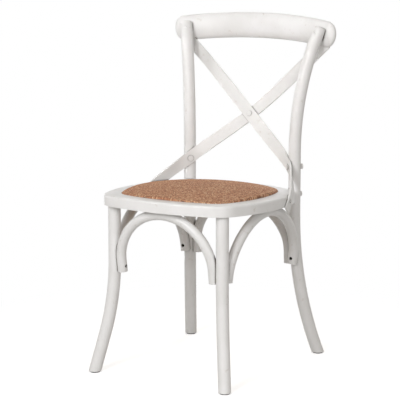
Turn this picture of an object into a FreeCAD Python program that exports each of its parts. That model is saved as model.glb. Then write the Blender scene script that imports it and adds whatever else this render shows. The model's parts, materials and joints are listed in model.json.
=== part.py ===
import FreeCAD, Part
import os
import math
import Sketcher

# White cross back dining chair, millimetres, +Z up, the front of the seat faces -Y.
# "left" and "right" are the -X and +X sides, as seen by somebody standing in front of the chair.

os.makedirs("parts", exist_ok=True)
doc = FreeCAD.newDocument("CrossBackChair")
V = FreeCAD.Vector

# Sizes: every cell is a plain number in millimetres or degrees

SIZES = [
    # seat ring, plan measured from the seat centre
    ("seat_front_reach", 255.3), ("seat_rear_reach", 195.4), ("seat_half_width", 216.9),
    ("front_arc", 485.6), ("rear_arc", 314), ("side_arc", 446), ("widest_line", -41),
    ("front_corner", 72), ("rear_corner", 75),
    ("ring_thickness", 27.7), ("ring_height", 425.5), ("seat_slope", 1.66),
    ("ring_band", 40.4), ("ledge_width", 10), ("ledge_thickness", 12), ("ring_round", 6),
    # upholstered panel, its corners measured out at the ring's own outline
    ("panel_front_corner", 100), ("panel_rear_corner", 118),
    ("board_thickness", 9), ("weave_thickness", 2.4), ("crown", 23.4), ("crown_sphere", 1025),
    ("seat_gap", 0.3),
    # legs and posts
    ("leg_radius", 16), ("front_leg_inset", 33), ("front_leg_angle", 20.65),
    ("front_bend_top", 290), ("front_bend_bottom", 98), ("front_bend_angle", 16.4),
    ("front_splay_heading", 52.3), ("tenon_radius", 11), ("tenon_length", 18),
    ("post_radius", 16), ("post_angle", 29.3), ("post_housing", 2),
    ("post_bend_low", 385), ("post_bend_high", 545), ("foot_splay", 78.4), ("foot_heading", 59.5),
    ("post_top_rise", 4.3), ("top_splay", 66.3), ("top_heading", 49.1), ("post_end_round", 3),
    ("glide_thickness", 3), ("glide_radius", 13),
    # top rail
    ("rail_arc", 634), ("rail_tilt", 20), ("rail_height", 860.7), ("rail_half_height", 33.7),
    ("rail_half_depth", 14.4), ("rail_half_length", 245.3), ("rail_cap", 28), ("rail_let_in", 4),
    ("rail_joint_drop", 10.7),
    # bentwood braces
    ("brace_radius", 12.5), ("brace_let_in", 4), ("brace_housing", 3),
    ("front_drop", 164), ("side_drop", 168), ("rear_drop", 176.5),
    ("front_fullness", 0.8), ("side_fullness", 0.8), ("rear_fullness", 0.8),
    ("front_stand", 34.5), ("side_stand", 14.2), ("rear_stand", 35),
    ("front_tilt", 8.5), ("side_tilt", 6.5), ("rear_tilt", 3.5), ("brace_screw_rise", 15),
    # flat steel cross strips
    ("strip_width", 31.3), ("strip_thickness", 4.4), ("strip_gap", 0.35), ("strip_let_in", 0.8),
    ("strip_top_reach", 213), ("strip_top_drop", 36), ("strip_upper_reach", 145.5),
    ("strip_upper_ahead", 35), ("strip_upper_drop", 98.5), ("strip_cross_ahead", 57.7),
    ("strip_cross_drop", 231.1), ("strip_lower_reach", 97), ("strip_lower_ahead", 90.8),
    ("strip_lower_drop", 307.3), ("strip_post_rise", 84.2), ("strip_wrap_angle", 37.4),
    ("strip_turn_out", 22.1), ("strip_turn_ahead", 53.6), ("strip_turn_rise", 50.2),
    ("strip_side_line", 46.5), ("strip_side_rise", 2.7), ("strip_end_line", 32.5),
    ("strip_end_drop", 10.8), ("strip_top_lean", 0), ("strip_upper_lean", 0),
    ("strip_lower_lean", -18.3), ("strip_post_lean", 1), ("strip_turn_lean", 12.6),
    # fasteners
    ("screw_radius", 2), ("screw_head_radius", 4.2), ("screw_head_height", 2.6),
    ("seat_screw_offset", 70), ("bolt_radius", 3), ("bolt_head_radius", 7), ("bolt_head_height", 4),
    ("rivet_radius", 3), ("rivet_head_radius", 6.5), ("rivet_head_height", 2.6),
    ("brace_screw_length", 24), ("brace_recess_radius", 4.6), ("brace_recess_depth", 7),
    ("plug_radius", 6), ("plug_thickness", 3), ("rail_screw_length", 38), ("brace_top_length", 25),
    ("nail_radius", 1.2), ("nail_length", 16), ("strip_bolt_drop", 3), ("strip_screw_length", 22),
    ("strip_screw_line", 54.5), ("strip_screw_rise", 10.5),
    ("bolt_let_in", 1.4), ("bolt_past_nut", 2), ("nut_height", 7), ("ring_bolt_bite", 26), ("plug_proud", 0.6),
]

sheet = doc.addObject("Spreadsheet::Sheet", "Sizes")
for row, (name, value) in enumerate(SIZES, start=1):
    sheet.set("A%d" % row, name)
    sheet.set("B%d" % row, str(value))
    sheet.setAlias("B%d" % row, name)
doc.recompute()

# Layout: numbers worked out from the sizes

layout = doc.addObject("App::VarSet", "Layout")


def derive(name, text):
    layout.addProperty("App::PropertyFloat", name, "Layout")
    layout.setExpression(name, text)


def S(name):
    return float(sheet.get(name))


def L(name):
    return float(layout.getPropertyByName(name))


# post centre line, from the centre of the rear seat curve
derive("rear_curve_y", "Sizes.seat_rear_reach - Sizes.rear_arc")
derive("post_reach", "Sizes.rear_arc + Sizes.post_radius - Sizes.post_housing")
derive("post_x", "Layout.post_reach * sin(Sizes.post_angle)")
derive("post_seat_y", "Layout.rear_curve_y + Layout.post_reach * cos(Sizes.post_angle)")
derive("low_drop", "Sizes.post_bend_low")
derive("low_arc", "(pow(Layout.low_drop; 2) + pow(Sizes.foot_splay; 2)) / (2 * Sizes.foot_splay)")
derive("low_turn", "asin(Layout.low_drop / Layout.low_arc) / 1 deg")
derive("post_peak", "Sizes.rail_height + Sizes.post_top_rise")
derive("high_rise", "Layout.post_peak - Sizes.post_bend_high")
derive("high_arc", "(pow(Layout.high_rise; 2) + pow(Sizes.top_splay; 2)) / (2 * Sizes.top_splay)")
derive("high_turn", "asin(Layout.high_rise / Layout.high_arc) / 1 deg")
# post centre at the height of the rail joint
derive("joint_level", "Sizes.rail_height - Sizes.rail_joint_drop")
derive("joint_rise", "Layout.joint_level - Sizes.post_bend_high")
derive("joint_splay", "Layout.high_arc - sqrt(pow(Layout.high_arc; 2) - pow(Layout.joint_rise; 2))")
derive("joint_x", "Layout.post_x + Layout.joint_splay * cos(Sizes.top_heading)")
derive("joint_seat_y", "Layout.post_seat_y + Layout.joint_splay * sin(Sizes.top_heading)")
# rail middle line, placed so that the post is let in to its front
derive("rail_reach", "Sizes.post_radius + Sizes.rail_half_depth - Sizes.rail_let_in")
derive("rail_swing", "asin(Layout.joint_x / Sizes.rail_arc) / 1 deg")
derive("rail_heading", "atan(tan(Layout.rail_swing) * cos(Sizes.rail_tilt)) / 1 deg")
derive("rail_touch_x", "Layout.joint_x + Layout.rail_reach * sin(Layout.rail_heading)")
derive("rail_touch_sag", "Sizes.rail_arc - sqrt(pow(Sizes.rail_arc; 2) - pow(Layout.rail_touch_x; 2))")
derive("rail_seat_y", "Layout.joint_seat_y + Layout.rail_reach * cos(Layout.rail_heading)"
       " + Layout.rail_touch_sag * cos(Sizes.rail_tilt)")
# the whole chair is centred on the origin front to back
derive("seat_y", "(Sizes.seat_front_reach - Layout.rail_seat_y - Sizes.rail_half_depth) / 2")
derive("post_y", "Layout.seat_y + Layout.post_seat_y")
derive("rail_y", "Layout.seat_y + Layout.rail_seat_y")
derive("joint_y", "Layout.seat_y + Layout.joint_seat_y")
derive("rail_core", "Sizes.rail_half_length - Sizes.rail_cap")
derive("rail_turn", "asin(Layout.rail_core / Sizes.rail_arc) / 1 deg")
derive("rail_centre_y", "Layout.rail_y - Sizes.rail_arc * cos(Sizes.rail_tilt)")
derive("rail_centre_z", "Sizes.rail_height - Sizes.rail_arc * sin(Sizes.rail_tilt)")
# front legs, from the centre of the front seat curve
derive("front_leg_reach", "Sizes.front_arc - Sizes.front_leg_inset")
derive("leg_x", "Layout.front_leg_reach * sin(Sizes.front_leg_angle)")
derive("leg_seat_y", "Sizes.front_arc - Sizes.seat_front_reach"
       " - Layout.front_leg_reach * cos(Sizes.front_leg_angle)")
derive("leg_y", "Layout.seat_y + Layout.leg_seat_y")
derive("front_bend_arc", "(Sizes.front_bend_top - Sizes.front_bend_bottom) / sin(Sizes.front_bend_angle)")
derive("slope", "tan(Sizes.seat_slope)")
derive("leg_under", "Sizes.ring_height - Layout.slope * Layout.leg_seat_y")
# post centre at the height of the brace ends, and at the floor
derive("base_z", "Sizes.ring_height - Sizes.rear_drop")
derive("base_splay", "Layout.low_arc - sqrt(pow(Layout.low_arc; 2) - pow(Sizes.post_bend_low - Layout.base_z; 2))")
derive("base_x", "Layout.post_x + Layout.base_splay * cos(Sizes.foot_heading)")
derive("base_seat_y", "Layout.post_seat_y + Layout.base_splay * sin(Sizes.foot_heading)")
derive("base_y", "Layout.seat_y + Layout.base_seat_y")
derive("rear_foot", "Layout.low_arc - sqrt(pow(Layout.low_arc; 2) - pow(Sizes.post_bend_low"
       " - Sizes.glide_thickness; 2))")
derive("front_foot", "Layout.front_bend_arc * (1 - cos(Sizes.front_bend_angle))"
       " + (Sizes.front_bend_bottom - Sizes.glide_thickness) * tan(Sizes.front_bend_angle)")
# braces: half spans and rises, measured in their own leaning planes
derive("end_gap", "Sizes.leg_radius + Sizes.brace_radius - Sizes.brace_let_in")
derive("side_shift", "Layout.base_x - Layout.leg_x")
derive("side_line", "Layout.base_seat_y - Layout.leg_seat_y")
derive("side_heading", "atan(Layout.side_shift / Layout.side_line) / 1 deg")
derive("side_x", "(Layout.base_x + Layout.leg_x) / 2")
derive("side_seat_y", "(Layout.base_seat_y + Layout.leg_seat_y) / 2")
derive("side_y", "Layout.seat_y + Layout.side_seat_y")
derive("front_half", "Layout.leg_x - Layout.end_gap")
derive("rear_half", "Layout.base_x - Layout.end_gap")
derive("side_half", "Layout.side_line / cos(Layout.side_heading) / 2 - Layout.end_gap")
derive("front_base", "Sizes.ring_height - Sizes.front_drop")
derive("side_base", "Sizes.ring_height - Sizes.side_drop")
derive("crown_lift", "Sizes.brace_housing - Sizes.brace_radius")
derive("front_rise", "(Sizes.front_drop + Layout.crown_lift - Layout.slope * Layout.leg_seat_y)"
       " / cos(Sizes.front_tilt)")
derive("side_rise", "(Sizes.side_drop + Layout.crown_lift - Layout.slope * Layout.side_seat_y)"
       " / cos(Sizes.side_tilt)")
derive("rear_rise", "(Sizes.rear_drop + Layout.crown_lift - Layout.slope * Layout.base_seat_y)"
       " / cos(Sizes.rear_tilt)")
for kind in ("front", "side", "rear"):
    derive(kind + "_bow", "min(Layout.%s_rise - Sizes.%s_stand; 0.95 * Layout.%s_half)" % ((kind,) * 3))
    derive(kind + "_corner", "Layout.%s_bow * Sizes.%s_fullness" % (kind, kind))
    derive(kind + "_flat", "Layout.%s_half - Layout.%s_corner" % (kind, kind))
    derive(kind + "_crown", "(pow(Layout.%s_flat; 2) + pow(Layout.%s_bow; 2) - pow(Layout.%s_corner; 2))"
           " / (2 * (Layout.%s_bow - Layout.%s_corner))" % ((kind,) * 5))
# upholstered panel middle
derive("panel_y", "(Sizes.seat_rear_reach - Sizes.seat_front_reach) / 2")
derive("panel_base", "Sizes.ledge_thickness + Sizes.board_thickness")
# where the cross strips are screwed to the side of the seat ring
derive("strip_screw_x", "Sizes.seat_half_width - Sizes.side_arc"
       " + sqrt(pow(Sizes.side_arc; 2) - pow(Sizes.strip_screw_line - Sizes.widest_line; 2))")
derive("strip_screw_turn", "asin((Sizes.strip_screw_line - Sizes.widest_line) / Sizes.side_arc) / 1 deg")
derive("strip_outside", "Layout.strip_screw_x + (Sizes.strip_gap + Sizes.strip_thickness)"
       " / cos(Layout.strip_screw_turn)")
doc.recompute()

finals = []


def keep(name, thing):
    thing.Label = name
    finals.append(thing)
    return thing


def bind(thing, **texts):
    for prop, text in texts.items():
        thing.setExpression(prop.replace("__", "."), text)
    return thing


def where(x, y, z, axis="0; 0; 1", angle="0"):
    return "placement(vector(%s; %s; %s); rotation(vector(%s); %s))" % (x, y, z, axis, angle)


def box(name, place, length, width, height):
    return bind(doc.addObject("Part::Box", name), Length=length, Width=width, Height=height, Placement=place)


def rod(name, place, radius, length):
    return bind(doc.addObject("Part::Cylinder", name), Radius=radius, Height=length, Placement=place)


def cut(base, *tools):
    for tool in tools:
        result = doc.addObject("Part::Cut", "Less_" + tool.Name)
        result.Base = base
        result.Tool = tool
        base = result
    return base


def fuse(name, *things):
    result = doc.addObject("Part::MultiFuse", name)
    result.Shapes = list(things)
    return result


def common(name, one, other):
    result = doc.addObject("Part::MultiCommon", name)
    result.Shapes = [one, other]
    return result


def group(name, things):
    result = doc.addObject("Part::Compound", name)
    result.Links = list(things)
    return result


def plane(body, role):
    return [f for f in body.Origin.OriginFeatures if f.Role == role][0]


def new_sketch(body, name, role, offset=None):
    sketch = body.newObject("Sketcher::SketchObject", name)
    sketch.AttachmentSupport = [(plane(body, role), "")]
    sketch.MapMode = "FlatFace"
    if offset:
        sketch.setExpression("AttachmentOffset", offset)
    return sketch


def held(sketch, constraint, text):
    number = sketch.addConstraint(constraint)
    sketch.setExpression("Constraints[%d]" % number, text)


def circle_sketch(body, name, role, offset, x, radius, x_text, radius_text):
    sketch = new_sketch(body, name, role, offset)
    sketch.addGeometry(Part.Circle(V(x, 0, 0), V(0, 0, 1), radius), False)
    held(sketch, Sketcher.Constraint("Radius", 0, radius), radius_text)
    if x_text is None:
        sketch.addConstraint(Sketcher.Constraint("Coincident", 0, 3, -1, 1))
        return sketch
    sketch.addConstraint(Sketcher.Constraint("PointOnObject", 0, 3, -1))
    held(sketch, Sketcher.Constraint("DistanceX", 0, 3, -1, 1, -x), x_text)
    return sketch


# Seat outlines: four bowed sides joined by round corners, all moved inwards by one amount

def meet(c1, r1, c2, r2, sx, sy):
    d = c2 - c1
    reach = d.Length
    along = (r1 * r1 - r2 * r2 + reach * reach) / (2 * reach)
    across = math.sqrt(r1 * r1 - along * along)
    u = d * (1 / reach)
    w = V(-u.y, u.x, 0)
    options = [c1 + u * along + w * across, c1 + u * along - w * across]
    return max(options, key=lambda p: p.x * sx + p.y * sy)


RING_CORNERS = ("rear_corner", "front_corner")
PANEL_CORNERS = ("panel_rear_corner", "panel_front_corner")


def seat_sketch(body, name, inset_text, inset, height_text, corner_names):
    at_rear, at_front = corner_names
    sketch = new_sketch(body, name, "XY_Plane", where("0", "0", height_text))
    right = (V(S("seat_half_width") - S("side_arc"), S("widest_line"), 0), S("side_arc") - inset)
    left = (V(-right[0].x, right[0].y, 0), right[1])
    rear = (V(0, S("seat_rear_reach") - S("rear_arc"), 0), S("rear_arc") - inset)
    front = (V(0, S("front_arc") - S("seat_front_reach"), 0), S("front_arc") - inset)
    sides = [right, rear, left, front]
    small = [S(at_rear) - inset, S(at_rear) - inset, S(at_front) - inset, S(at_front) - inset]
    signs = [(1, 1), (-1, 1), (-1, -1), (1, -1)]
    corners = []
    for k in range(4):
        a = sides[k]
        b = sides[(k + 1) % 4]
        centre = meet(a[0], a[1] - small[k], b[0], b[1] - small[k], signs[k][0], signs[k][1])
        on_a = a[0] + (centre - a[0]).normalize() * a[1]
        on_b = b[0] + (centre - b[0]).normalize() * b[1]
        corners.append((centre, small[k], on_a, on_b))
    spans = []
    for k in range(4):
        start = corners[k - 1][3]
        finish = corners[k][2]
        spans.append((sides[k][0], sides[k][1], start, finish))
        spans.append((corners[k][0], corners[k][1], corners[k][2], corners[k][3]))
    for centre, radius, start, finish in spans:
        a0 = math.atan2(start.y - centre.y, start.x - centre.x)
        a1 = math.atan2(finish.y - centre.y, finish.x - centre.x)
        ring = Part.Circle(centre, V(0, 0, 1), radius)
        sketch.addGeometry(Part.ArcOfCircle(ring, a0, a1), False)
    for k in range(8):
        sketch.addConstraint(Sketcher.Constraint("Tangent", k, 2, (k + 1) % 8, 1))
    radii = ["side_arc", at_rear, "rear_arc", at_rear, "side_arc", at_front, "front_arc", at_front]
    for k, alias in enumerate(radii):
        held(sketch, Sketcher.Constraint("Radius", k, spans[k][1]), "Sizes.%s - (%s)" % (alias, inset_text))
    side_off = S("side_arc") - S("seat_half_width")
    held(sketch, Sketcher.Constraint("DistanceX", 0, 3, -1, 1, side_off), "Sizes.side_arc - Sizes.seat_half_width")
    held(sketch, Sketcher.Constraint("DistanceX", -1, 1, 4, 3, side_off), "Sizes.side_arc - Sizes.seat_half_width")
    held(sketch, Sketcher.Constraint("DistanceY", -1, 1, 0, 3, S("widest_line")), "Sizes.widest_line")
    held(sketch, Sketcher.Constraint("DistanceY", -1, 1, 4, 3, S("widest_line")), "Sizes.widest_line")
    for k, point, text in ((2, rear[0], "Sizes.seat_rear_reach - Sizes.rear_arc"),
                           (6, front[0], "Sizes.front_arc - Sizes.seat_front_reach")):
        sketch.addConstraint(Sketcher.Constraint("PointOnObject", k, 3, -2))
        held(sketch, Sketcher.Constraint("DistanceY", -1, 1, k, 3, point.y), text)
    return sketch


def seat_slab(name, inset_text, inset, bottom_text, length_text, corner_names=PANEL_CORNERS):
    body = doc.addObject("PartDesign::Body", name)
    outline = seat_sketch(body, name + "_outline", inset_text, inset, bottom_text, corner_names)
    pad = body.newObject("PartDesign::Pad", name + "_pad")
    pad.Profile = outline
    pad.setExpression("Length", length_text)
    outline.Visibility = False
    return body


SEAT_PLACE = where("0", "Layout.seat_y", "Sizes.ring_height", "1; 0; 0", "-Sizes.seat_slope")


def seat_local(x, y, z):
    return SEAT_PLACE + " * " + where(x, y, z)


# Seat ring: solid slab first, with its rounded top edge

ring_slab = seat_slab("ring_slab", "0", 0, "0", "Sizes.ring_thickness", RING_CORNERS)
doc.recompute()
ring_pad = ring_slab.Tip
top_edges = []
for number, edge in enumerate(ring_pad.Shape.Edges, start=1):
    box_now = edge.BoundBox
    if box_now.ZMin > S("ring_thickness") - 0.01:
        top_edges.append("Edge%d" % number)
ring_fillet = ring_slab.newObject("PartDesign::Fillet", "ring_top_round")
ring_fillet.Base = (ring_pad, top_edges)
ring_fillet.setExpression("Radius", "Sizes.ring_round")
ring_slab.setExpression("Placement", SEAT_PLACE)
opening = seat_slab("seat_opening", "Sizes.ring_band + Sizes.ledge_width",
                    S("ring_band") + S("ledge_width"), "-1", "Sizes.ring_thickness + 2")
opening.setExpression("Placement", SEAT_PLACE)
rebate = seat_slab("seat_rebate", "Sizes.ring_band", S("ring_band"),
                   "Sizes.ledge_thickness", "Sizes.ring_thickness")
rebate.setExpression("Placement", SEAT_PLACE)
doc.recompute()


# Front legs: straight top, bend, straight foot

def front_leg_blank(name, side):
    body = doc.addObject("PartDesign::Body", name)
    heading = "-Sizes.front_splay_heading" if side > 0 else "180 + Sizes.front_splay_heading"
    arc = L("front_bend_arc")
    turn = S("front_bend_angle")
    base = circle_sketch(body, name + "_section", "XY_Plane", where("0", "0", "Sizes.front_bend_top"),
                         0, S("leg_radius"), None, "Sizes.leg_radius")
    pad = body.newObject("PartDesign::Pad", name + "_straight")
    pad.Profile = base
    pad.setExpression("Length", "Layout.leg_under + Sizes.ring_thickness / 2 - Sizes.front_bend_top")
    centre = where("Layout.front_bend_arc * cos(%s)" % heading, "Layout.front_bend_arc * sin(%s)" % heading,
                   "Sizes.front_bend_top", "0; 0; 1", heading)
    bend = circle_sketch(body, name + "_bend_section", "XY_Plane", centre, -arc, S("leg_radius"),
                         "Layout.front_bend_arc", "Sizes.leg_radius")
    swing = body.newObject("PartDesign::Revolution", name + "_bend")
    swing.Profile = bend
    swing.ReferenceAxis = (bend, ["V_Axis"])
    swing.Reversed = True
    swing.setExpression("Angle", "Sizes.front_bend_angle")
    low = centre + " * " + where("0", "0", "0", "0; 1; 0", "-Sizes.front_bend_angle")
    foot = circle_sketch(body, name + "_foot_section", "XY_Plane", low, -arc, S("leg_radius"),
                         "Layout.front_bend_arc", "Sizes.leg_radius")
    run = body.newObject("PartDesign::Pad", name + "_foot")
    run.Profile = foot
    run.Reversed = True
    run.setExpression("Length", "(Sizes.front_bend_bottom + Sizes.leg_radius) / cos(Sizes.front_bend_angle)")
    body.setExpression("Placement", where("%d * Layout.leg_x" % side, "Layout.leg_y", "0"))
    return body


# Rear posts: one piece from floor to rail, bent outwards below the seat and above it

def post_blank(name, side):
    body = doc.addObject("PartDesign::Body", name)
    base = circle_sketch(body, name + "_section", "XY_Plane", where("0", "0", "Sizes.post_bend_low"),
                         0, S("post_radius"), None, "Sizes.post_radius")
    pad = body.newObject("PartDesign::Pad", name + "_straight")
    pad.Profile = base
    pad.setExpression("Length", "Sizes.post_bend_high - Sizes.post_bend_low")
    for part, arc, turn, aim, level, down in (
            ("low", "low_arc", "Layout.low_turn + 1.2", "foot_heading", "post_bend_low", True),
            ("high", "high_arc", "Layout.high_turn", "top_heading", "post_bend_high", False)):
        heading = "Sizes.%s" % aim if side > 0 else "180 - Sizes.%s" % aim
        centre = where("Layout.%s * cos(%s)" % (arc, heading), "Layout.%s * sin(%s)" % (arc, heading),
                       "Sizes.%s" % level, "0; 0; 1", heading)
        bend = circle_sketch(body, "%s_%s_section" % (name, part), "XY_Plane", centre, -L(arc),
                             S("post_radius"), "Layout.%s" % arc, "Sizes.post_radius")
        swing = body.newObject("PartDesign::Revolution", "%s_%s_bend" % (name, part))
        swing.Profile = bend
        swing.ReferenceAxis = (bend, ["V_Axis"])
        swing.Reversed = down
        swing.setExpression("Angle", turn)
    doc.recompute()
    tip = body.Tip
    highest = max(edge.CenterOfMass.z for edge in tip.Shape.Edges if edge.isClosed())
    chosen = []
    for number, edge in enumerate(tip.Shape.Edges, start=1):
        if edge.isClosed() and edge.CenterOfMass.z > highest - 0.01:
            chosen.append("Edge%d" % number)
    ease = body.newObject("PartDesign::Fillet", name + "_end_round")
    ease.Base = (tip, chosen)
    ease.setExpression("Radius", "Sizes.post_end_round")
    body.setExpression("Placement", where("%d * Layout.post_x" % side, "Layout.post_y", "0"))
    return body


SIDES = (("left", -1), ("right", 1))
ground = box("ground", where("-600", "-600", "-60"), "1200", "1200", "60 + Sizes.glide_thickness")
leg_blanks = {}
posts = {}
for word, side in SIDES:
    leg_blanks[word] = cut(front_leg_blank("leg_blank_" + word, side), ground)
    posts[word] = cut(post_blank("post_blank_" + word, side), ground)
doc.recompute()


# Braces: a round rod bent to an arch, standing in a leaning plane

def arch(name, kind, place):
    half = L(kind + "_half")
    rise = L(kind + "_rise")
    stand = rise - L(kind + "_bow")
    corner = L(kind + "_corner")
    crown = L(kind + "_crown")
    body = doc.addObject("PartDesign::Body", name)
    path = new_sketch(body, name + "_path", "XZ_Plane")
    top = V(0, rise - crown, 0)
    bend = V(corner - half, stand, 0)
    away = (bend - top).normalize()
    meet_angle = math.atan2(away.y, away.x)
    z = V(0, 0, 1)
    path.addGeometry(Part.LineSegment(V(-half, 0, 0), V(-half, stand, 0)), False)
    path.addGeometry(Part.ArcOfCircle(Part.Circle(bend, z, corner), meet_angle, math.pi), False)
    path.addGeometry(Part.ArcOfCircle(Part.Circle(top, z, crown), math.pi - meet_angle, meet_angle), False)
    other = V(-bend.x, bend.y, 0)
    path.addGeometry(Part.ArcOfCircle(Part.Circle(other, z, corner), 0, math.pi - meet_angle), False)
    path.addGeometry(Part.LineSegment(V(half, stand, 0), V(half, 0, 0)), False)
    path.addConstraint(Sketcher.Constraint("Tangent", 0, 2, 1, 2))
    path.addConstraint(Sketcher.Constraint("Tangent", 1, 1, 2, 2))
    path.addConstraint(Sketcher.Constraint("Tangent", 2, 1, 3, 2))
    path.addConstraint(Sketcher.Constraint("Tangent", 3, 1, 4, 1))
    path.addConstraint(Sketcher.Constraint("Vertical", 0))
    path.addConstraint(Sketcher.Constraint("Vertical", 4))
    path.addConstraint(Sketcher.Constraint("PointOnObject", 0, 1, -1))
    path.addConstraint(Sketcher.Constraint("PointOnObject", 4, 2, -1))
    path.addConstraint(Sketcher.Constraint("PointOnObject", 2, 3, -2))
    held(path, Sketcher.Constraint("DistanceX", 0, 1, -1, 1, half), "Layout.%s_half" % kind)
    held(path, Sketcher.Constraint("DistanceX", -1, 1, 4, 2, half), "Layout.%s_half" % kind)
    held(path, Sketcher.Constraint("Radius", 1, corner), "Layout.%s_corner" % kind)
    held(path, Sketcher.Constraint("Radius", 3, corner), "Layout.%s_corner" % kind)
    held(path, Sketcher.Constraint("Radius", 2, crown), "Layout.%s_crown" % kind)
    held(path, Sketcher.Constraint("DistanceY", -1, 1, 2, 3, rise - crown),
         "Layout.%s_rise - Layout.%s_crown" % (kind, kind))
    section = circle_sketch(body, name + "_section", "XY_Plane", where("-Layout.%s_half" % kind, "0", "0",
                            "0; 0; 1", "90"), 0, S("brace_radius"), None, "Sizes.brace_radius")
    doc.recompute()
    pipe = body.newObject("PartDesign::AdditivePipe", name + "_rod")
    pipe.Profile = section
    pipe.Spine = (path, ["Edge%d" % n for n in range(1, 6)])
    body.setExpression("Placement", place)
    return body


def lean(place, angle):
    return place + " * " + where("0", "0", "0", "1; 0; 0", angle)


# the side braces slope with the seat
ALONG_SEAT = " * " + where("0", "0", "0", "0; 1; 0", "Sizes.seat_slope")
ARCH_PLACES = {
    "front_brace": ("front", lean(where("0", "Layout.leg_y", "Layout.front_base"), "Sizes.front_tilt")),
    "rear_brace": ("rear", lean(where("0", "Layout.base_y", "Layout.base_z"), "Sizes.rear_tilt")),
    "right_brace": ("side", lean(where("Layout.side_x", "Layout.side_y", "Layout.side_base", "0; 0; 1",
                                       "90 - Layout.side_heading") + ALONG_SEAT, "Sizes.side_tilt")),
    "left_brace": ("side", lean(where("-Layout.side_x", "Layout.side_y", "Layout.side_base", "0; 0; 1",
                                      "90 + Layout.side_heading") + ALONG_SEAT, "-Sizes.side_tilt")),
}
arches = {name: arch(name + "_blank", kind, place) for name, (kind, place) in ARCH_PLACES.items()}
doc.recompute()


# Top rail: an upright ellipse swept round an arc that dips to both ends, closed by half domes

def rail_spot(turn):
    swing = "placement(vector(0; Layout.rail_centre_y; Layout.rail_centre_z);"
    swing += " rotation(vector(0; -sin(Sizes.rail_tilt); cos(Sizes.rail_tilt)); %s))" % turn
    back = where("0", "Sizes.rail_arc * cos(Sizes.rail_tilt)", "Sizes.rail_arc * sin(Sizes.rail_tilt)")
    return swing + " * " + back


section = bind(doc.addObject("Part::Ellipse", "rail_section"), MajorRadius="Sizes.rail_half_height",
               MinorRadius="Sizes.rail_half_depth",
               Placement=where("0", "Layout.rail_y", "Sizes.rail_height", "0; 1; 0", "-90"))
core = doc.addObject("Part::Revolution", "rail_core")
core.Source = section
core.Solid = True
core.Symmetric = True
core.Axis = V(0, -math.sin(math.radians(S("rail_tilt"))), math.cos(math.radians(S("rail_tilt"))))
bind(core, Angle="2 * Layout.rail_turn", Axis__y="-sin(Sizes.rail_tilt)", Axis__z="cos(Sizes.rail_tilt)",
     Base__y="Layout.rail_centre_y", Base__z="Layout.rail_centre_z")
caps = []
for word, side in SIDES:
    cap = doc.addObject("Part::Ellipsoid", "rail_cap_" + word)
    cap.Angle1 = 0
    cap.Angle2 = 90
    cap.Angle3 = 360
    place = rail_spot("%d * Layout.rail_turn" % -side) + " * " + where("0", "0", "0", "0; 1; 0", str(90 * side))
    bind(cap, Radius1="Sizes.rail_cap", Radius2="Sizes.rail_half_height", Radius3="Sizes.rail_half_depth",
         Placement=place)
    caps.append(cap)
rail_blank = fuse("rail_blank", core, *caps)
doc.recompute()


# Cross strips: flat steel, drawn through a few points and turned to lie on its neighbours

def side_line(y):
    centre = S("seat_half_width") - S("side_arc")
    return centre + math.sqrt(S("side_arc") ** 2 - (y - S("widest_line")) ** 2)


def rail_line(x):
    sag = S("rail_arc") - math.sqrt(S("rail_arc") ** 2 - x * x)
    return L("rail_y") - sag * math.cos(math.radians(S("rail_tilt")))


def strip_points():
    top = S("rail_height")
    seat = S("ring_height")
    wrap = math.radians(S("strip_wrap_angle"))
    off = S("post_radius") + S("strip_thickness") / 2 - S("strip_let_in")
    beside = S("strip_thickness") / 2 + S("strip_gap")
    slope = math.cos(math.atan2(S("strip_side_line") - S("widest_line"), S("side_arc")))
    return [
        V(-S("strip_top_reach"), rail_line(S("strip_top_reach")), top - S("strip_top_drop")),
        V(-S("strip_upper_reach"), L("rail_y") - S("strip_upper_ahead"), top - S("strip_upper_drop")),
        V(0, L("rail_y") - S("strip_cross_ahead"), top - S("strip_cross_drop")),
        V(S("strip_lower_reach"), L("rail_y") - S("strip_lower_ahead"), top - S("strip_lower_drop")),
        V(L("post_x") - off * math.sin(wrap), L("post_y") - off * math.cos(wrap), seat + S("strip_post_rise")),
        V(L("post_x") + S("strip_turn_out"), L("post_y") - S("strip_turn_ahead"), seat + S("strip_turn_rise")),
        V(side_line(S("strip_side_line")) + beside / slope, L("seat_y") + S("strip_side_line"),
          seat + S("strip_side_rise")),
        V(side_line(S("strip_end_line")) + beside / slope, L("seat_y") + S("strip_end_line"),
          seat - S("strip_end_drop")),
    ]


def upright(tangent):
    flat = V(tangent.x, tangent.y, 0).normalize()
    return V(-flat.y, flat.x, 0)


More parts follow.
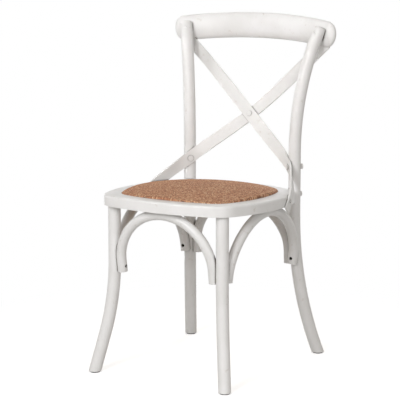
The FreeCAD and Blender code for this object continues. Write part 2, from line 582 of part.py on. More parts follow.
def strip_shape(side):
    points = strip_points()
    line = Part.BSplineCurve()
    line.interpolate(Points=points)
    marks = [line.parameter(p) for p in points]
    at_cross = line.tangent(marks[2])[0]
    shared = V(0, -at_cross.z, at_cross.y).normalize()
    level = upright(at_cross)
    cross_lean = math.degrees(math.atan2(level.cross(shared).dot(at_cross), level.dot(shared)))
    leans = [S("strip_top_lean"), S("strip_upper_lean"), cross_lean, S("strip_lower_lean"),
             S("strip_post_lean"), S("strip_turn_lean"), 0, 0]
    rings = []
    stops = []
    for k in range(len(marks) - 1):
        steps = 4
        for n in range(steps + (1 if k == len(marks) - 2 else 0)):
            share = n / steps
            mark = marks[k] + (marks[k + 1] - marks[k]) * share
            ease = (1 - math.cos(math.pi * share)) / 2
            angle = leans[k] + (leans[k + 1] - leans[k]) * ease
            middle = line.value(mark)
            tangent = line.tangent(mark)[0]
            across = FreeCAD.Rotation(tangent, angle).multVec(upright(tangent))
            along = across.cross(tangent)
            reach = S("strip_upper_reach")
            part = max(0.0, 1 - (middle.x / reach) ** 2) ** 2 if middle.y > L("post_y") + 4 else 0.0
            push = (S("strip_thickness") + S("strip_gap")) / 2 * part * -side
            middle = middle + across * push
            half = across * (S("strip_thickness") / 2)
            wide = along * (S("strip_width") / 2)
            corners = [middle - half - wide, middle + half - wide, middle + half + wide, middle - half + wide]
            if side < 0:
                corners = [V(-p.x, p.y, p.z) for p in corners]
            rings.append(corners)
            stops.append(mark)
    edges = []
    for c in range(4):
        edge = Part.BSplineCurve()
        edge.interpolate(Points=[ring[c] for ring in rings], Parameters=stops)
        edges.append(edge.toShape())
    faces = [Part.makeRuledSurface(edges[c], edges[(c + 1) % 4]) for c in range(4)]
    for ring in (rings[0], rings[-1]):
        faces.append(Part.Face(Part.makePolygon(ring + ring[:1])))
    shell = Part.makeShell(faces)
    shell.sewShape()
    solid = Part.makeSolid(shell)
    return solid if solid.Volume > 0 else solid.reversed()


strips = {}
for word, side in SIDES:
    strip = doc.addObject("Part::Feature", "strip_blank_" + word)
    strip.Shape = strip_shape(side)
    strip.Placement = FreeCAD.Placement()
    strips[word] = strip
doc.recompute()


# Fasteners: a head and a shank on one axis, pointing along the local z of their place

def screw(name, place, head="screw_head_radius", height="screw_head_height", shank="screw_radius",
          length="16", sunk="0"):
    top = rod(name + "_head", place + " * " + where("0", "0", "%s - Sizes.%s" % (sunk, height)),
              "Sizes." + head, "Sizes." + height)
    pin = rod(name + "_shank", place + " * " + where("0", "0", sunk), "Sizes." + shank, length)
    return fuse(name, top, pin), pin


brace_screws = []
brace_pins = {}
brace_recesses = {}
top_screws = []
top_pins = []
for name, (kind, place) in ARCH_PLACES.items():
    brace_pins[name] = []
    brace_recesses[name] = []
    for word, side in SIDES:
        spot = place + " * " + where("%d * (Layout.%s_half - Sizes.brace_radius)" % (side, kind), "0",
                                     "Sizes.brace_screw_rise", "0; 1; 0", str(90 * side))
        whole, pin = screw("%s_%s_screw" % (name, word), spot, length="Sizes.brace_screw_length",
                           sunk="Sizes.brace_recess_depth")
        brace_screws.append(whole)
        brace_pins[name].append(pin)
        brace_recesses[name].append(rod("%s_%s_recess" % (name, word), spot + " * " + where("0", "0", "-3"),
                                        "Sizes.brace_recess_radius", "Sizes.brace_recess_depth + 3"))
    spot = place + " * " + where("0", "0", "Layout.%s_rise - Sizes.brace_radius" % kind)
    whole, pin = screw(name + "_top_screw", spot, length="Sizes.brace_top_length",
                       sunk="Sizes.brace_recess_depth")
    top_screws.append(whole)
    top_pins.append(pin)
    brace_pins[name].append(pin)
    brace_recesses[name].append(rod(name + "_top_recess", spot + " * " + where("0", "0", "-3"),
                                    "Sizes.brace_recess_radius", "Sizes.brace_recess_depth + 3"))

seat_screws = []
for number, (side, arc, sense, base) in enumerate((
        (-1, "front_arc", -1, "Sizes.front_arc - Sizes.seat_front_reach"),
        (1, "front_arc", -1, "Sizes.front_arc - Sizes.seat_front_reach"),
        (-1, "rear_arc", 1, "Sizes.seat_rear_reach - Sizes.rear_arc"),
        (1, "rear_arc", 1, "Sizes.seat_rear_reach - Sizes.rear_arc")), start=1):
    reach = "sqrt(pow(Sizes.%s - Sizes.ring_band - Sizes.ledge_width / 2; 2) - pow(Sizes.seat_screw_offset; 2))" % arc
    spot = seat_local("%d * Sizes.seat_screw_offset" % side, "%s + %d * %s" % (base, sense, reach), "0")
    whole, pin = screw("seat_screw_%d" % number, spot, length="Sizes.ledge_thickness + Sizes.board_thickness - 2")
    seat_screws.append(whole)

strip_bolts = []
strip_bolt_pins = []
strip_nuts = []
ring_bolts = []
ring_bolt_pins = []
ring_washers = []
rail_screws = []
rail_screw_pins = []
rail_plugs = []
strip_screws = []
rivet_parts = []


def aim(side, x, y, z, angle):
    heading = "90 - (%s)" % angle if side > 0 else "90 + (%s)" % angle
    return where("%d * %s" % (side, x), y, z, "0; 0; 1", heading) + " * " + where("0", "0", "0", "0; 1; 0", "90")


for word, side in SIDES:
    through = aim(side, "Layout.post_x", "Layout.post_y",
                  "Sizes.ring_height + Sizes.strip_post_rise - Sizes.strip_bolt_drop", "Sizes.strip_wrap_angle")
    start = "-(Sizes.post_radius + Sizes.strip_thickness - Sizes.strip_let_in)"
    whole, pin = screw("strip_bolt_" + word, through + " * " + where("0", "0", start), "bolt_head_radius",
                       "bolt_head_height", "bolt_radius",
                       "2 * Sizes.post_radius + Sizes.strip_thickness + Sizes.bolt_past_nut")
    strip_bolts.append(whole)
    strip_bolt_pins.append(pin)
    nut = rod("strip_nut_solid_" + word, through + " * " + where("0", "0", "Sizes.post_radius - Sizes.bolt_let_in"),
              "Sizes.bolt_head_radius", "Sizes.nut_height")
    strip_nuts.append(nut)

    outward = aim(side, "Layout.post_x", "Layout.post_y",
                  "Sizes.ring_height - Layout.slope * Layout.post_seat_y + Sizes.ring_thickness / 2",
                  "Sizes.post_angle")
    cap = rod("ring_bolt_cap_" + word, outward + " * " + where("0", "0", "Sizes.post_radius - Sizes.bolt_let_in"),
              "Sizes.bolt_head_radius", "Sizes.bolt_head_height + Sizes.bolt_let_in")
    stem = rod("ring_bolt_stem_" + word,
               outward + " * " + where("0", "0", "-(Sizes.post_radius + Sizes.ring_bolt_bite)"),
               "Sizes.bolt_radius", "2 * Sizes.post_radius + Sizes.ring_bolt_bite")
    ring_bolts.append(fuse("ring_bolt_" + word, cap, stem))
    ring_bolt_pins.append(stem)

    back = aim(side, "Layout.joint_x", "Layout.joint_y", "Layout.joint_level", "Layout.rail_heading")
    deep = "-(Sizes.post_radius - Sizes.plug_thickness)"
    whole, pin = screw("rail_screw_" + word, back + " * " + where("0", "0", deep), "screw_head_radius",
                       "screw_head_height", "screw_radius", "Sizes.rail_screw_length", "Sizes.screw_head_height")
    rail_screws.append(whole)
    rail_screw_pins.append(pin)
    rail_plugs.append(rod("rail_plug_" + word,
                          back + " * " + where("0", "0", deep + " - Sizes.plug_thickness - Sizes.plug_proud"),
                          "Sizes.plug_radius", "Sizes.plug_thickness + Sizes.plug_proud"))

    place = where("%d * Layout.strip_outside" % side, "Layout.seat_y + Sizes.strip_screw_line",
                  "Sizes.ring_height + Sizes.strip_screw_rise", "0; 0; 1",
                  "Layout.strip_screw_turn" if side > 0 else "180 - Layout.strip_screw_turn")
    whole, pin = screw("strip_screw_" + word, place + " * " + where("0", "0", "0", "0; 1; 0", "-90"),
                       length="Sizes.strip_screw_length")
    strip_screws.append(whole)

cross = where("0", "Layout.rail_y - Sizes.strip_cross_ahead", "Sizes.rail_height - Sizes.strip_cross_drop")
lay = strip_points()
tangent_line = Part.BSplineCurve()
tangent_line.interpolate(Points=lay)
slant = tangent_line.tangent(tangent_line.parameter(lay[2]))[0]
recline = math.degrees(math.atan2(-slant.y, -slant.z))
rivet_place = cross + " * " + where("0", "0", "0", "1; 0; 0", "-90 - (%.6f)" % recline)
stack = "(Sizes.strip_thickness + Sizes.strip_gap / 2)"
rivet_pin = rod("rivet_pin", rivet_place + " * " + where("0", "0", "-" + stack), "Sizes.rivet_radius", "2 * " + stack)
rivet_front = rod("rivet_front", rivet_place + " * " + where("0", "0", "-%s - Sizes.rivet_head_height" % stack),
                  "Sizes.rivet_head_radius", "Sizes.rivet_head_height")
rivet_back = rod("rivet_back", rivet_place + " * " + where("0", "0", stack),
                 "Sizes.rivet_head_radius", "Sizes.rivet_head_height")
rivet_whole = fuse("rivet_whole", rivet_pin, rivet_front, rivet_back)
doc.recompute()

# Foot glides and their nails

glides = []
nails = []
nail_pins = []
for word, side in SIDES:
    for label, x, y, reach, aim_text in (
            ("front", "Layout.leg_x", "Layout.leg_y", "Layout.front_foot", "-Sizes.front_splay_heading"),
            ("rear", "Layout.post_x", "Layout.post_y", "Layout.rear_foot", "Sizes.foot_heading")):
        foot_x = "%d * (%s + %s * cos(%s))" % (side, x, reach, aim_text)
        foot_y = "%s + %s * sin(%s)" % (y, reach, aim_text)
        disc = rod("glide_disc_%s_%s" % (label, word), where(foot_x, foot_y, "0"),
                   "Sizes.glide_radius", "Sizes.glide_thickness")
        dish = rod("glide_dish_%s_%s" % (label, word), where(foot_x, foot_y, "-1"), "3 * Sizes.nail_radius", "2")
        head = rod("nail_head_%s_%s" % (label, word), where(foot_x, foot_y, "1"), "2.6 * Sizes.nail_radius", "0.8")
        seat = rod("nail_seat_%s_%s" % (label, word), where(foot_x, foot_y, "0.5"), "2.6 * Sizes.nail_radius", "1.3")
        pin = rod("nail_pin_%s_%s" % (label, word), where(foot_x, foot_y, "1.8"),
                  "Sizes.nail_radius", "Sizes.nail_length")
        nails.append(fuse("nail_%s_%s" % (label, word), head, pin))
        nail_pins.append(pin)
        glides.append(cut(disc, dish, seat, pin))
doc.recompute()

# Finished subparts

tenons = {}
for word, side in SIDES:
    tenons[word] = rod("tenon_" + word, where("%d * Layout.leg_x" % side, "Layout.leg_y", "Layout.leg_under - 6"),
                       "Sizes.tenon_radius", "Sizes.tenon_length + 6")
all_pins = group("pins_for_legs", [p for name in arches for p in brace_pins[name][:2]] + nail_pins)
keep("seat_ring", cut(ring_slab, opening, rebate, posts["left"], posts["right"], tenons["left"], tenons["right"],
                      *[arches[name] for name in arches],
                      group("pins_for_ring", top_pins + ring_bolt_pins), group("seat_screw_tools", seat_screws),
                      group("strip_screw_tools", strip_screws), strips["left"], strips["right"]))
for word, side in SIDES:
    trimmed = cut(leg_blanks[word], ring_slab)
    keep("front_leg_" + word, cut(fuse("leg_with_tenon_" + word, trimmed, tenons[word]), all_pins))
for word, side in SIDES:
    keep("rear_post_" + word, cut(posts[word], all_pins, group("post_tools_" + word, [strip_bolt_pins[side > 0]]),
                                  strip_nuts[side > 0], ring_bolts[side > 0], rail_screws[side > 0],
                                  rail_plugs[side > 0], strips[word]))
for name in arches:
    neighbours = {"front_brace": (leg_blanks["left"], leg_blanks["right"]),
                  "rear_brace": (posts["left"], posts["right"]),
                  "left_brace": (leg_blanks["left"], posts["left"]),
                  "right_brace": (leg_blanks["right"], posts["right"])}[name]
    keep(name, cut(arches[name], neighbours[0], neighbours[1], *(brace_recesses[name] + brace_pins[name])))
keep("top_rail", cut(rail_blank, posts["left"], posts["right"], strips["left"], strips["right"],
                     group("rail_tools", rail_screw_pins)))
for word, side in SIDES:
    keep("cross_strip_" + word, cut(strips[word], group("strip_tools_" + word, [strip_bolts[side > 0], rivet_whole]),
                                    strip_screws[side > 0]))
keep("crossing_rivet", rivet_whole)
keep("strip_post_bolts", group("strip_post_bolt_set", strip_bolts))
keep("strip_post_nuts", group("strip_post_nut_set", [cut(n, p) for n, p in zip(strip_nuts, strip_bolt_pins)]))
keep("post_ring_bolts", group("post_ring_bolt_set", ring_bolts))
keep("rail_post_screws", group("rail_post_screw_set", rail_screws))
keep("rail_post_plugs", group("rail_post_plug_set", rail_plugs))
keep("strip_ring_screws", group("strip_ring_screw_set", strip_screws))
keep("brace_end_screws", group("brace_end_screw_set", brace_screws))
keep("brace_top_screws", group("brace_top_screw_set", top_screws))
keep("foot_glides", group("foot_glide_set", glides))
keep("glide_nails", group("glide_nail_set", nails))

# Upholstered panel: board on the ledge, padding, and the woven cover over both

board = seat_slab("board_slab", "Sizes.ring_band + Sizes.seat_gap", S("ring_band") + S("seat_gap"),
                  "Sizes.ledge_thickness", "Sizes.board_thickness")
cover = seat_slab("cover_slab", "Sizes.ring_band + Sizes.seat_gap", S("ring_band") + S("seat_gap"),
                  "Layout.panel_base", "Sizes.ring_thickness + Sizes.crown")
inset = S("ring_band") + S("seat_gap") + S("weave_thickness")
pad = seat_slab("padding_slab", "Sizes.ring_band + Sizes.seat_gap + Sizes.weave_thickness", inset,
                "Layout.panel_base", "Sizes.ring_thickness + Sizes.crown")
for slab in (board, cover, pad):
    slab.setExpression("Placement", SEAT_PLACE)
domes = []
for name, less in (("cover_dome", "0"), ("padding_dome", "Sizes.weave_thickness")):
    dome = doc.addObject("Part::Sphere", name)
    bind(dome, Radius="Sizes.crown_sphere - %s" % less,
         Placement=seat_local("0", "Layout.panel_y", "Sizes.ring_thickness + Sizes.crown - Sizes.crown_sphere"))
    domes.append(dome)
padding = common("padding_body", pad, domes[1])
keep("seat_board", cut(board, group("board_screws", seat_screws)))
keep("seat_padding", padding)
keep("woven_seat", cut(common("cover_body", cover, domes[0]), padding))
keep("seat_screws", group("seat_screw_set", seat_screws))
doc.recompute()

# Checks and files

problems = []
for thing in doc.Objects:
    if "Invalid" in thing.State or "Error" in thing.State:
        problems.append("%s %s" % (thing.Name, thing.State))
for thing in finals:
    if thing.Shape.isNull() or not thing.Shape.isValid():
        problems.append("%s has no valid shape" % thing.Label)
if problems:
    raise RuntimeError("; ".join(problems))
whole = FreeCAD.BoundBox()
for thing in finals:
    thing.Shape.exportStep("parts/%s.step" % thing.Label)
    whole.add(thing.Shape.BoundBox)
    print("%-20s solids %d volume %.0f" % (thing.Label, len(thing.Shape.Solids), thing.Shape.Volume))
print("box", whole)
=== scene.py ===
import json
import math

import bmesh
import bpy
from mathutils import Matrix, Vector


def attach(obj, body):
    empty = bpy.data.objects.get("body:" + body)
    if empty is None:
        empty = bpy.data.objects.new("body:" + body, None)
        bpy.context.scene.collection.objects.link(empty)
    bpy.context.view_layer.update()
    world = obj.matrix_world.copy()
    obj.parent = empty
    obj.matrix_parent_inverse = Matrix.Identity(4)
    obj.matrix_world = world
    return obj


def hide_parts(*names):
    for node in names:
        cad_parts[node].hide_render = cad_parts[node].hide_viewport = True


MM = 0.001
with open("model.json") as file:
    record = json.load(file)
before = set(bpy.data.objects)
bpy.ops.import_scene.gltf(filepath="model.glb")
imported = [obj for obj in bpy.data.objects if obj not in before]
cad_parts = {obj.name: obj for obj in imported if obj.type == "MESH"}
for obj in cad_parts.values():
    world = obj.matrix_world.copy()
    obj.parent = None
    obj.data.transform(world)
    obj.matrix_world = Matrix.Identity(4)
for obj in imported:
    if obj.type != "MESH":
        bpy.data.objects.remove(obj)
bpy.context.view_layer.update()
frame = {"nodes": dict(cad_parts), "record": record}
nodes = frame["nodes"]


def linear(hex_text):
    parts = [int(hex_text[i:i + 2], 16) / 255 for i in (0, 2, 4)]
    flat = [p / 12.92 if p <= 0.04045 else ((p + 0.055) / 1.055) ** 2.4 for p in parts]
    return (flat[0], flat[1], flat[2], 1.0)


# Small helpers for materials

class Surface:
    """Node tree of a material or world: add() makes a node with its settings and links."""

    def __init__(self, name, owner=None):
        self.material = owner or bpy.data.materials.new(name)
        self.material.use_nodes = True
        self.tree = self.material.node_tree
        self.tree.nodes.clear()

    def add(self, kind, inputs=None, **settings):
        node = self.tree.nodes.new(kind)
        for key, value in settings.items():
            setattr(node, key, value)
        for key, value in (inputs or {}).items():
            if isinstance(value, bpy.types.NodeSocket):
                self.tree.links.new(value, node.inputs[key])
            else:
                node.inputs[key].default_value = value
        return node

    def out(self, shader, kind="ShaderNodeOutputMaterial"):
        self.add(kind, {"Surface": shader})
        return self.material


def ramp(node, stops):
    bar = node.color_ramp
    while len(bar.elements) > 1:
        bar.elements.remove(bar.elements[0])
    for number, (place, colour) in enumerate(stops):
        stop = bar.elements[0] if number == 0 else bar.elements.new(place)
        stop.position = place
        stop.color = colour
    return node.outputs["Color"]


def painted(name, top, worn, grain_mm, rough, bump_mm):
    # satin lacquer over bent beech, or enamel on steel: an even film with faint cloudy tone,
    # soft brush drag along the parts, a slightly uneven sheen, a few rubbed spots
    # and painted shade that darkens the joints and crevices
    s = Surface(name)
    place = s.add("ShaderNodeTexCoord").outputs["Object"]
    cloud = s.add("ShaderNodeTexNoise", {"Vector": place, "Scale": 1 / (70 * MM), "Detail": 3.0,
                                        "Roughness": 0.55})
    shade = ramp(s.add("ShaderNodeValToRGB", {"Fac": cloud.outputs["Fac"]}),
                 [(0.35, linear(worn)), (0.62, linear(top))])
    drag = s.add("ShaderNodeMapping", {"Vector": place, "Scale": (1.0, 1.0, 0.12)})
    brush = s.add("ShaderNodeTexNoise", {"Vector": drag.outputs["Vector"], "Scale": 1 / (grain_mm * MM),
                                        "Detail": 4.0, "Roughness": 0.6})
    sheen = s.add("ShaderNodeMapRange", {"Value": brush.outputs["Fac"], "From Min": 0.3, "From Max": 0.7,
                                        "To Min": rough - 0.06, "To Max": rough + 0.08})
    dent = s.add("ShaderNodeBump", {"Height": brush.outputs["Fac"], "Strength": 0.35,
                                   "Distance": bump_mm * MM})
    rub = s.add("ShaderNodeTexNoise", {"Vector": place, "Scale": 1 / (16 * MM), "Detail": 2.0})
    rubbed = s.add("ShaderNodeMapRange", {"Value": rub.outputs["Fac"], "From Min": 0.66, "From Max": 0.76,
                                         "To Min": 0.0, "To Max": 0.3})
    film = s.add("ShaderNodeMix", {0: rubbed.outputs["Result"], 6: shade, 7: linear("B9AFA3")},
                 data_type="RGBA")
    # painted shade: ambient occlusion darkens the film toward 5C544B where parts meet and in crevices
    nook = s.add("ShaderNodeAmbientOcclusion", {"Distance": 6 * MM}, samples=8)
    painted_shade_amount = s.add("ShaderNodeMapRange", {"Value": nook.outputs["AO"], "From Min": 0.3, "From Max": 0.9,
                                         "To Min": 0.95, "To Max": 0.0})
    coat = s.add("ShaderNodeMix", {0: painted_shade_amount.outputs["Result"], 6: film.outputs[2], 7: linear("5C544B")},
                 data_type="RGBA")
    body = s.add("ShaderNodeBsdfPrincipled", {"Base Color": coat.outputs[2], "IOR": 1.5,
                                             "Roughness": sheen.outputs["Result"],
                                             "Normal": dent.outputs["Normal"]})
    return s.out(body.outputs["BSDF"])


white_lacquer = painted("white_lacquer_on_beech", "ECECED", "E6E6E6", 9, 0.35, 0.25)
white_enamel = painted("white_enamel_on_strip", "EBEBEB", "E5E5E5", 7, 0.5, 0.15)


def plain_stuff(name, dark, light, grain_mm, rough, metallic=0.0):
    s = Surface(name)
    place = s.add("ShaderNodeTexCoord").outputs["Object"]
    grain = s.add("ShaderNodeTexNoise", {"Vector": place, "Scale": 1 / (grain_mm * MM), "Detail": 4.0})
    shade = ramp(s.add("ShaderNodeValToRGB", {"Fac": grain.outputs["Fac"]}),
                 [(0.35, linear(dark)), (0.65, linear(light))])
    dent = s.add("ShaderNodeBump", {"Height": grain.outputs["Fac"], "Strength": 0.3, "Distance": 0.15 * MM})
    body = s.add("ShaderNodeBsdfPrincipled", {"Base Color": shade, "Roughness": rough, "Metallic": metallic,
                                             "Normal": dent.outputs["Normal"]})
    return s.out(body.outputs["BSDF"])


# blackened steel, turned and oiled: a dark metal with a soft glint
black_screw = plain_stuff("blackened_steel", "141312", "26231F", 1.5, 0.5, 1.0)
# black nylon, moulded: a dull dark face without metal shine
black_nylon = plain_stuff("black_nylon_glide", "17171A", "232326", 2, 0.55)
# poplar plywood, sanded and left bare: warm and matt, with a cloudy grain
ply_face = plain_stuff("poplar_plywood", "B58A57", "CFA878", 6, 0.7)
# foam under wadding: pale and quite matt
wadding = plain_stuff("foam_wadding", "CFC4AE", "DED5C2", 4, 0.9)

COATS = {
    "paint": white_lacquer,
    "strip_paint": white_enamel,
    "plywood": ply_face,
    "padding": wadding,
    "steel": black_screw,
    "glide": black_nylon,
}
for part in frame["record"]["subparts"]:
    coat = COATS.get(part["material_slot"])
    if coat is None:
        continue
    mesh = nodes[part["node"]].data
    mesh.materials.clear()
    mesh.materials.append(coat)

# Seat pad and its woven cover, both inside the ring's opening

SEAT_SLOPE = math.radians(1.66)
SEAT_Y = -14.971
RING_HEIGHT = 425.5
RING_TOP = 27.7
CROWN_TOP = RING_TOP + 23.4
CROWN_SPHERE = 1025.0
PANEL_Y = -29.95
PANEL_INSET = 40.7
# cord spacing is given, because it is too fine to measure
CORD_PITCH = 4.2
CORD_RISE = 1.4
COVER_STEP = 1.15
COVER_ROLL = 3.6
COVER_FOOT = RING_TOP - 6
PAD_UNDER = 2.6
PAD_STEP = 5.0
PAD_ROLL = 8.0
PAD_FOOT = RING_TOP - 6.5
GRID_WIDE = 364
GRID_DEEP = 380

# seat outline: centre and radius of its four curves: front, right, back, left
SEAT_ARCS = [
    ((0.0, 230.3), 485.6),
    ((-229.1, -41.0), 446.0),
    ((0.0, -118.6), 314.0),
    ((229.1, -41.0), 446.0),
]
SEAT_CORNERS = [100.0, 118.0, 118.0, 100.0]


def corner_centres(first, second, radius):
    (ax, ay), ar = first
    (bx, by), br = second
    line = Vector((bx - ax, by - ay))
    far = line.length
    ra = ar - radius
    rb = br - radius
    along = (far * far + ra * ra - rb * rb) / (2 * far)
    off = math.sqrt(ra * ra - along * along)
    step = line / far
    foot = Vector((ax, ay)) + step * along
    square = Vector((-step.y, step.x)) * off
    return [foot - square, foot + square]


def seat_corners():
    found = []
    for number, radius in enumerate(SEAT_CORNERS):
        first = SEAT_ARCS[number]
        second = SEAT_ARCS[(number + 1) % 4]
        side_x = (1, 1, -1, -1)[number]
        side_y = (-1, 1, 1, -1)[number]
        spots = corner_centres(first, second, radius)
        spots.sort(key=lambda spot: -(spot.x * side_x + spot.y * side_y))
        found.append((spots[0], radius, Vector(first[0]), Vector(second[0])))
    return found


CORNERS = seat_corners()


def seat_edge(x, y, inset):
    """Distance inside the outline moved in by inset, and the way out of it."""
    here = Vector((x, y))
    for centre, radius, first, second in CORNERS:
        way = here - centre
        one = centre - first
        two = centre - second
        turn = one.x * two.y - one.y * two.x
        after = one.x * way.y - one.y * way.x
        before = way.x * two.y - way.y * two.x
        if turn * after > 0 and turn * before > 0:
            return radius - inset - way.length, way.normalized()
    gaps = []
    for (cx, cy), radius in SEAT_ARCS:
        way = Vector((x - cx, y - cy))
        gaps.append((radius - inset - way.length, way.x, way.y))
    gap, wx, wy = min(gaps)
    return gap, Vector((wx, wy)).normalized()


def weave_height(x, y):
    u = x / CORD_PITCH
    v = y / CORD_PITCH
    i = math.floor(u)
    j = math.floor(v)
    across = math.cos(math.pi * (u - i - 0.5))
    along = math.cos(math.pi * (v - j - 0.5))
    if (i + j) % 2 == 0:
        return across ** 0.5 * (0.35 + 0.65 * along)
    return along ** 0.5 * (0.35 + 0.65 * across)


def crown_height(x, y):
    d2 = x * x + (y - PANEL_Y) ** 2
    return CROWN_TOP - CROWN_SPHERE + math.sqrt(CROWN_SPHERE ** 2 - d2)


def crowned_form(name, step, inset, lower, roll, relief, floor_z):
    """Crowned panel with rolled edges: top grid, walls down to floor_z."""
    bm = bmesh.new()
    nx = int(GRID_WIDE / step)
    ny = int(GRID_DEEP / step)
    bmesh.ops.create_grid(bm, x_segments=nx, y_segments=ny, size=0.5)
    for v in bm.verts:
        v.co = Vector((v.co.x * nx * step, v.co.y * ny * step + PANEL_Y, 0))
    doomed = [v for v in bm.verts if seat_edge(v.co.x, v.co.y, inset)[0] < -0.3 * step]
    bmesh.ops.delete(bm, geom=doomed, context="VERTS")
    for v in bm.verts:
        inside, way = seat_edge(v.co.x, v.co.y, inset)
        if v.is_boundary:
            v.co.x += way.x * inside
            v.co.y += way.y * inside
            inside = 0.0
        x = v.co.x
        y = v.co.y
        inside = max(0.0, inside)
        drop = roll - math.sqrt(max(0.0, roll * roll - max(0.0, roll - inside) ** 2))
        rise = relief * (weave_height(x, y) - 1.0) if relief else 0.0
        v.co.z = crown_height(x, y) - lower - drop + rise
    rim = [e for e in bm.edges if e.is_boundary]
    wall = bmesh.ops.extrude_edge_only(bm, edges=rim)
    foot = [g for g in wall["geom"] if isinstance(g, bmesh.types.BMVert)]
    for v in foot:
        v.co.z = floor_z
    if not relief:
        ring = [g for g in wall["geom"] if isinstance(g, bmesh.types.BMEdge) and g.is_boundary]
        bmesh.ops.contextual_create(bm, geom=ring)
    bmesh.ops.recalc_face_normals(bm, faces=bm.faces)
    bmesh.ops.transform(bm, matrix=Matrix.Rotation(-SEAT_SLOPE, 4, "X"), verts=bm.verts)
    bmesh.ops.translate(bm, vec=(0, SEAT_Y, RING_HEIGHT), verts=bm.verts)
    bmesh.ops.scale(bm, vec=(MM, MM, MM), verts=bm.verts)
    mesh = bpy.data.meshes.new(name)
    bm.to_mesh(mesh)
    bm.free()
    for face in mesh.polygons:
        face.use_smooth = True
    piece = bpy.data.objects.new(name, mesh)
    bpy.context.scene.collection.objects.link(piece)
    return piece


def woven_cord(name):
    # twisted paper cord: each bead of the weave takes its own shade of tan or rust,
    # with fine fibres along it and painted shade darkening the gaps where it dives under its neighbour
    s = Surface(name)
    place = s.add("ShaderNodeTexCoord").outputs["Object"]
    cells = s.add("ShaderNodeVectorMath", {0: place, 1: (0, -SEAT_Y * MM, 0)}, operation="ADD")
    cells = s.add("ShaderNodeVectorMath", {0: cells.outputs[0], "Scale": 1 / (CORD_PITCH * MM)},
                  operation="SCALE")
    split = s.add("ShaderNodeSeparateXYZ", {"Vector": cells.outputs[0]})
    waves = []
    for axis in ("X", "Y"):
        turn = s.add("ShaderNodeMath", {0: split.outputs[axis], 1: math.pi}, operation="MULTIPLY")
        wave = s.add("ShaderNodeMath", {0: turn.outputs[0]}, operation="SINE")
        waves.append(s.add("ShaderNodeMath", {0: wave.outputs[0]}, operation="ABSOLUTE").outputs[0])
    painted_gap_shade_mask = s.add("ShaderNodeMath", {0: waves[0], 1: waves[1]}, operation="MULTIPLY")
    flat = s.add("ShaderNodeVectorMath", {0: cells.outputs[0], 1: (1, 1, 0)}, operation="MULTIPLY")
    index = s.add("ShaderNodeVectorMath", {0: flat.outputs[0]}, operation="FLOOR")
    chance = s.add("ShaderNodeTexWhiteNoise", {"Vector": index.outputs[0]})
    strand = s.add("ShaderNodeTexNoise", {"Vector": place, "Scale": 1 / (2.2 * MM), "Detail": 4.0,
                                         "Roughness": 0.65})
    mixed = s.add("ShaderNodeMath", {0: strand.outputs["Fac"], 1: 0.62, 2: 0.02}, operation="MULTIPLY_ADD")
    both = s.add("ShaderNodeMath", {0: chance.outputs["Value"], 1: 0.36, 2: mixed.outputs[0]},
                 operation="MULTIPLY_ADD")
    tan = ramp(s.add("ShaderNodeValToRGB", {"Fac": both.outputs[0]}),
               [(0.26, linear("844E33")), (0.44, linear("B88060")), (0.60, linear("CA9974")),
                (0.80, linear("EBD2AE"))])
    # painted shade: the gaps between beads are darkened down to 0.28 of the bead colour
    dark = s.add("ShaderNodeMapRange", {"Value": painted_gap_shade_mask.outputs[0], "From Min": 0.0, "From Max": 0.5,
                                       "To Min": 0.28, "To Max": 1.0})
    shade = s.add("ShaderNodeMix", {0: 1.0, 6: tan, 7: dark.outputs["Result"]}, data_type="RGBA",
                  blend_type="MULTIPLY")
    fibre = s.add("ShaderNodeBump", {"Height": strand.outputs["Fac"], "Strength": 0.5, "Distance": 0.4 * MM})
    body = s.add("ShaderNodeBsdfPrincipled", {"Base Color": shade.outputs[2], "Roughness": 0.72,
                                             "Normal": fibre.outputs["Normal"]})
    return s.out(body.outputs["BSDF"])


cover = crowned_form("woven_cord_cover", COVER_STEP, PANEL_INSET, 0.0, COVER_ROLL, CORD_RISE, COVER_FOOT)
cover.data.materials.append(woven_cord("twisted_paper_cord"))
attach(cover, "root")
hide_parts("woven_seat")

pad = crowned_form("foam_seat_pad", PAD_STEP, PANEL_INSET + PAD_UNDER, PAD_UNDER, PAD_ROLL, 0.0, PAD_FOOT)
pad.data.materials.append(wadding)
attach(pad, "root")
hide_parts("seat_padding")


# Floor, world, lamps and camera

def seen_rays(s):
    path = s.add("ShaderNodeLightPath")
    first = s.add("ShaderNodeMath", {0: path.outputs["Is Camera Ray"], 1: path.outputs["Is Glossy Ray"]},
                  operation="MAXIMUM")
    return s.add("ShaderNodeMath", {0: first.outputs[0], 1: path.outputs["Is Transmission Ray"]},
                 operation="MAXIMUM").outputs[0]


def white_floor(name, glow, near, far):
    # matt white studio floor: the object's shadow stays beside it and fades to plain white
    s = Surface(name)
    place = s.add("ShaderNodeTexCoord").outputs["Object"]
    away = s.add("ShaderNodeVectorMath", {0: place}, operation="LENGTH")
    fade = s.add("ShaderNodeMapRange", {"Value": away.outputs["Value"], "From Min": near, "From Max": far},
                 interpolation_type="SMOOTHSTEP")
    matt = s.add("ShaderNodeBsdfDiffuse", {"Color": linear("E6E6E6")})
    dull = s.add("ShaderNodeBsdfDiffuse", {"Color": linear("B4B2AE")})
    lift = s.add("ShaderNodeEmission", {"Color": (1, 1, 1, 1), "Strength": glow})
    shown = s.add("ShaderNodeAddShader", {0: matt.outputs[0], 1: lift.outputs[0]})
    plain = s.add("ShaderNodeEmission", {"Color": (1, 1, 1, 1), "Strength": 1.0})
    spread = s.add("ShaderNodeMixShader", {0: fade.outputs["Result"], 1: shown.outputs[0],
                                          2: plain.outputs[0]})
    mix = s.add("ShaderNodeMixShader", {0: seen_rays(s), 1: dull.outputs[0], 2: spread.outputs[0]})
    return s.out(mix.outputs[0])


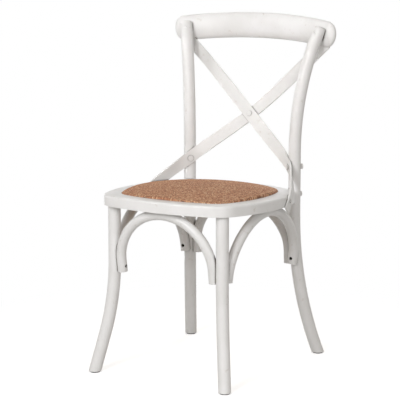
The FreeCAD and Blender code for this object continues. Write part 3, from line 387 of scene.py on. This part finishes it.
def studio_floor():
    bm = bmesh.new()
    bmesh.ops.create_grid(bm, x_segments=1, y_segments=1, size=4.0)
    mesh = bpy.data.meshes.new("studio_floor")
    bm.to_mesh(mesh)
    bm.free()
    piece = bpy.data.objects.new("studio_floor", mesh)
    bpy.context.scene.collection.objects.link(piece)
    mesh.materials.append(white_floor("white_floor", 0.6, 0.35, 0.9))


studio_floor()

world = bpy.data.worlds.new("studio")
bpy.context.scene.world = world
sky = Surface("studio", world)
soft = sky.add("ShaderNodeBackground", {"Color": linear("FAF3EA"), "Strength": 0.42})
plain = sky.add("ShaderNodeBackground", {"Color": (1, 1, 1, 1), "Strength": 1.0})
pick = sky.add("ShaderNodeMixShader", {0: seen_rays(sky), 1: soft.outputs[0], 2: plain.outputs[0]})
sky.out(pick.outputs[0], "ShaderNodeOutputWorld")


def lamp(name, place, aim, size, watts, spread=180):
    data = bpy.data.lights.new(name, "AREA")
    data.shape = "DISK"
    data.size = size
    data.energy = watts
    data.spread = math.radians(spread)
    thing = bpy.data.objects.new(name, data)
    thing.location = place
    way = Vector(aim) - Vector(place)
    thing.rotation_euler = way.to_track_quat("-Z", "Y").to_euler()
    bpy.context.scene.collection.objects.link(thing)


lamp("key_lamp", (0.2, -3.1, 1.75), (0, 0, 0.6), 1.4, 52)
lamp("side_lamp", (-2.3, -2.4, 1.9), (0, 0.2, 0.85), 0.5, 0.45, 22)
lamp("fill_lamp", (2.7, -2.2, 1.3), (0, 0, 0.5), 1.6, 20)
lamp("back_lamp", (-0.6, 3.0, 2.0), (0, 0, 0.5), 1.6, 18)

# camera fitted to the photograph: focal length in pixels of its 400 pixel frame
FOCAL_PIXELS = 1762
FRAME_PIXELS = 400
SENSOR = 36
view = bpy.data.cameras.new("photo_view")
view.lens = FOCAL_PIXELS / FRAME_PIXELS * SENSOR
view.sensor_width = SENSOR
view.clip_end = 60
seer = bpy.data.objects.new("photo_view", view)
seer.location = (2.3404, -3.8073 + SEAT_Y * MM, 1.197)
seer.rotation_euler = (math.radians(90 - 9.76), 0, math.radians(31.85))
bpy.context.scene.collection.objects.link(seer)
bpy.context.scene.camera = seer
bpy.context.scene.view_settings.view_transform = "Standard"
